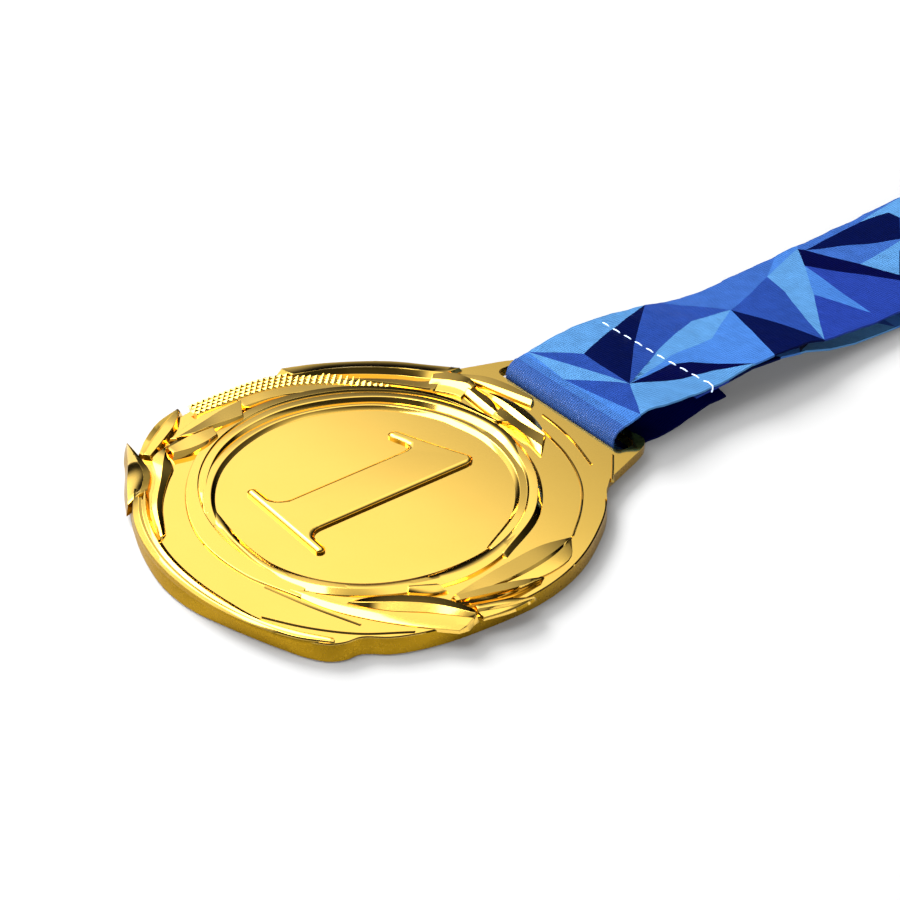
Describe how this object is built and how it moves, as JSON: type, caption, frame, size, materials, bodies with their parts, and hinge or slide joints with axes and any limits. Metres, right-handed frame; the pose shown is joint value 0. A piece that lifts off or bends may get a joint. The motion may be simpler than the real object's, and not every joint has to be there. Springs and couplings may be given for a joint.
{
  "type": "prize medal",
  "caption": "Round gold-plated relief medal with a raised numeral and laurel leaves, slotted hanger and a sewn printed neck ribbon lying beside it.",
  "frame": {"origin": "centre of the medal's flat back face, under the middle of the smooth field", "axes": "+Z out of the medal's front, +Y towards the hanger and the ribbon, +X to the right of the upright numeral"},
  "size_m": [0.0673, 0.2313, 0.0069],
  "materials": {
    "gold_plate": "mirror-polished gold plating",
    "ribbon": "printed satin polyester",
    "thread": "pale polyester thread"
  },
  "bodies": {
    "medal": {"medal_body": "gold_plate"},
    "bar_loop": {"ribbon_bar_loop": "ribbon", "ribbon_far_end": "ribbon", "seam_thread": "thread"},
    "neck": {"ribbon_neck_loop": "ribbon"}
  },
  "joints": [
    {"name": "ribbon_swing", "type": "hinge", "parent": "medal", "child": "bar_loop", "pos_m": [0, 0.0403, 0.0017], "axis": [1, 0, 0], "range_deg": [-120, 100]},
    {"name": "neck_flex", "type": "hinge", "parent": "bar_loop", "child": "neck", "pos_m": [0, 0.062, 0.00515], "axis": [1, 0, 0], "range_deg": [-55, 55]}
  ]
}
